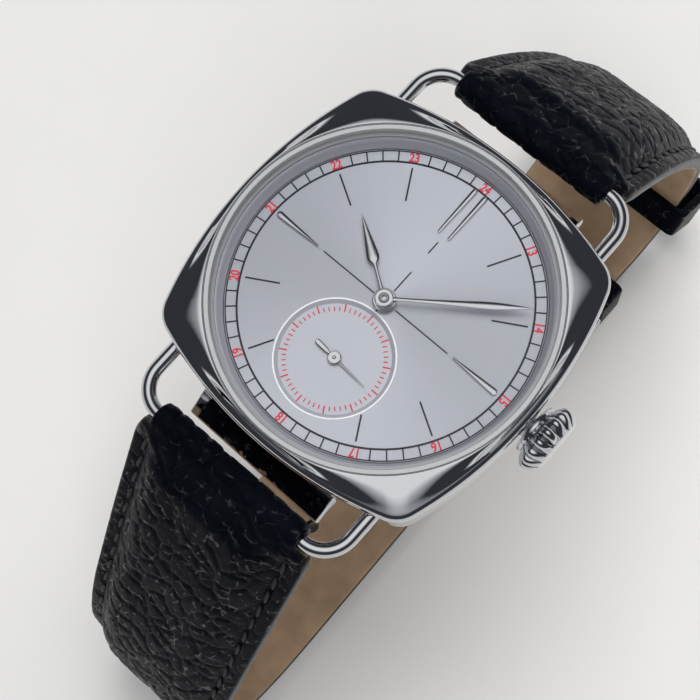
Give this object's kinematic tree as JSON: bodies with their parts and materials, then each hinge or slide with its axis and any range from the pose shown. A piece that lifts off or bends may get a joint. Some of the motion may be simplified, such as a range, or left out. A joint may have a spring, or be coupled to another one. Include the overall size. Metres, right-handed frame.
{
  "type": "wristwatch",
  "caption": "Automatic wristwatch with a polished cushion case on wire lugs, domed crystal, small seconds dial, fluted crown and a padded leather strap with buckle.",
  "frame": {"origin": "centre of the case back's flat outer face, on the axis of the hour and minute hands", "axes": "+Z out of the dial through the crystal, +Y towards 12 o'clock, +X towards 3 o'clock and the crown"},
  "size_m": [0.0393, 0.0952, 0.0626],
  "materials": {
    "polished_steel": "mirror polished stainless steel",
    "brushed_steel": "brushed stainless steel",
    "crystal_glass": "clear domed glass",
    "gasket_nylon": "white nylon",
    "gasket_rubber": "black rubber",
    "dial_silver": "silvered, radially brushed",
    "dial_white": "silvered, fine concentric grain",
    "applied_steel": "polished facets",
    "plate_nickel": "nickel plated brass, striped and pearled",
    "wheel_gilt": "gilt brass, circular grained",
    "steel_parts": "hardened and polished steel",
    "spring_steel": "spring alloy",
    "hairspring_blue": "blued spring alloy",
    "ruby": "synthetic ruby",
    "rotor_steel": "striped heavy metal",
    "strap_leather": "embossed dark blue-black leather, glossy on the padding",
    "strap_lining": "smooth tan lining leather"
  },
  "bodies": {
    "case": {"case_body": "polished_steel", "wire_lug_12": "polished_steel", "wire_lug_6": "polished_steel", "crystal": "crystal_glass", "crystal_gasket": "gasket_nylon", "rehaut_ring": "brushed_steel", "case_back": "brushed_steel", "case_back_gasket": "gasket_rubber", "movement_ring": "brushed_steel", "crown_tube": "brushed_steel", "dial": "dial_silver", "seconds_dial": "dial_white", "hour_markers": "applied_steel", "main_plate": "plate_nickel", "barrel_bridge": "plate_nickel", "train_bridge": "plate_nickel", "balance_cock": "plate_nickel", "pallet_cock": "plate_nickel", "automatic_bridge": "plate_nickel", "bridge_screws": "steel_parts", "plate_jewels": "ruby", "hairspring": "hairspring_blue", "rotor_screw": "steel_parts"},
    "winding": {"winding_pinion": "steel_parts", "sliding_pinion": "steel_parts"},
    "crown_and_stem": {"crown": "polished_steel", "winding_stem": "steel_parts", "crown_gasket": "gasket_rubber"},
    "crown_wheel_body": {"crown_wheel": "steel_parts"},
    "ratchet": {"ratchet_wheel": "steel_parts"},
    "click_body": {"click": "steel_parts"},
    "barrel": {"mainspring_barrel": "wheel_gilt", "mainspring": "spring_steel"},
    "centre": {"centre_wheel": "wheel_gilt", "cannon_pinion": "steel_parts", "minute_hand": "applied_steel"},
    "motion_wheel": {"minute_wheel": "wheel_gilt"},
    "hour": {"hour_wheel": "wheel_gilt", "hour_hand": "applied_steel"},
    "third": {"third_wheel": "wheel_gilt"},
    "fourth": {"fourth_wheel": "wheel_gilt", "seconds_hand": "applied_steel"},
    "escape": {"escape_wheel": "steel_parts"},
    "fork": {"pallet_fork": "steel_parts"},
    "balance": {"balance_wheel": "wheel_gilt"},
    "rotor_body": {"rotor": "rotor_steel"},
    "strap_half_12": {"strap_12": "strap_leather", "strap_12_lining": "strap_lining", "fixed_keeper": "strap_leather"},
    "strap_half_6": {"strap_6": "strap_leather", "strap_6_lining": "strap_lining"},
    "keeper": {"free_keeper": "strap_leather"},
    "buckle": {"buckle_frame": "polished_steel", "buckle_bar": "steel_parts"},
    "tongue": {"buckle_tongue": "polished_steel"}
  },
  "joints": [
    {"name": "crown_turn", "type": "hinge", "parent": "case", "child": "winding", "pos_m": [0, 0, 0.00625], "axis": [1, 0, 0], "continuous": true},
    {"name": "crown_pull", "type": "slide", "parent": "winding", "child": "crown_and_stem", "axis": [1, 0, 0], "range_m": [0, 0.0011]},
    {"name": "crown_wheel_turn", "type": "hinge", "parent": "case", "child": "crown_wheel_body", "pos_m": [0.00517, 0.00288, 0.0028], "axis": [0, 0, 1], "continuous": true},
    {"name": "ratchet_turn", "type": "hinge", "parent": "case", "child": "ratchet", "pos_m": [0.00102, 0.00579, 0.0028], "axis": [0, 0, 1], "continuous": true},
    {"name": "click_tilt", "type": "hinge", "parent": "case", "child": "click_body", "pos_m": [-0.00296, 0.00614, 0.0028], "axis": [0, 0, 1], "range_deg": [0, 10]},
    {"name": "seconds_turn", "type": "hinge", "parent": "case", "child": "fourth", "pos_m": [0, -0.0072, 0.005], "axis": [0, 0, 1], "continuous": true},
    {"name": "third_turn", "type": "hinge", "parent": "case", "child": "third", "pos_m": [0.00137, -0.00391, 0.005], "axis": [0, 0, 1], "continuous": true},
    {"name": "minutes_turn", "type": "hinge", "parent": "case", "child": "centre", "pos_m": [0, 0, 0.005], "axis": [0, 0, 1], "continuous": true},
    {"name": "barrel_turn", "type": "hinge", "parent": "case", "child": "barrel", "pos_m": [0.00102, 0.00579, 0.0045], "axis": [0, 0, 1], "continuous": true},
    {"name": "escape_turn", "type": "hinge", "parent": "case", "child": "escape", "pos_m": [-0.00272, -0.00847, 0.0045], "axis": [0, 0, 1], "continuous": true},
    {"name": "minute_wheel_turn", "type": "hinge", "parent": "case", "child": "motion_wheel", "pos_m": [0.00154, 0.00184, 0.0065], "axis": [0, 0, 1], "continuous": true},
    {"name": "hours_turn", "type": "hinge", "parent": "case", "child": "hour", "pos_m": [0, 0, 0.0068], "axis": [0, 0, 1], "continuous": true},
    {"name": "fork_rock", "type": "hinge", "parent": "case", "child": "fork", "pos_m": [-0.00437, -0.00652, 0.0045], "axis": [0, 0, 1], "range_deg": [-5, 5]},
    {"name": "balance_swing", "type": "hinge", "parent": "case", "child": "balance", "pos_m": [-0.0071, -0.0033, 0.0038], "axis": [0, 0, 1], "range_deg": [-270, 270], "stiffness_Nm_per_rad": 0.0000003},
    {"name": "rotor_turn", "type": "hinge", "parent": "case", "child": "rotor_body", "pos_m": [0, 0, 0.0022], "axis": [0, 0, 1], "continuous": true},
    {"name": "strap_12_swing", "type": "hinge", "parent": "case", "child": "strap_half_12", "pos_m": [0, 0.022, 0.007], "axis": [1, 0, 0], "range_deg": [-2, 95]},
    {"name": "strap_6_swing", "type": "hinge", "parent": "case", "child": "strap_half_6", "pos_m": [0, -0.022, 0.007], "axis": [-1, 0, 0], "range_deg": [-2, 95]},
    {"name": "keeper_slip", "type": "hinge", "parent": "strap_half_12", "child": "keeper", "pos_m": [0, 0.03245, -0.03258], "axis": [1, 0, 0], "range_deg": [-22, 28]},
    {"name": "buckle_swing", "type": "hinge", "parent": "strap_half_12", "child": "buckle", "pos_m": [0, 0.02445, -0.04458], "axis": [1, 0, 0], "range_deg": [-80, 10]},
    {"name": "tongue_swing", "type": "hinge", "parent": "buckle", "child": "tongue", "pos_m": [0, 0.02445, -0.04458], "axis": [1, 0, 0], "range_deg": [0, 55]}
  ],
  "couplings": [
    {"joint": "crown_wheel_turn", "follows": "crown_turn", "ratio": -0.46667},
    {"joint": "ratchet_turn", "follows": "crown_turn", "ratio": 0.29167},
    {"joint": "third_turn", "follows": "seconds_turn", "ratio": -0.13333},
    {"joint": "minutes_turn", "follows": "seconds_turn", "ratio": 0.016667},
    {"joint": "barrel_turn", "follows": "seconds_turn", "ratio": -0.0027778},
    {"joint": "escape_turn", "follows": "seconds_turn", "ratio": -9},
    {"joint": "minute_wheel_turn", "follows": "seconds_turn", "ratio": -0.0055556},
    {"joint": "hours_turn", "follows": "seconds_turn", "ratio": 0.0013889}
  ]
}
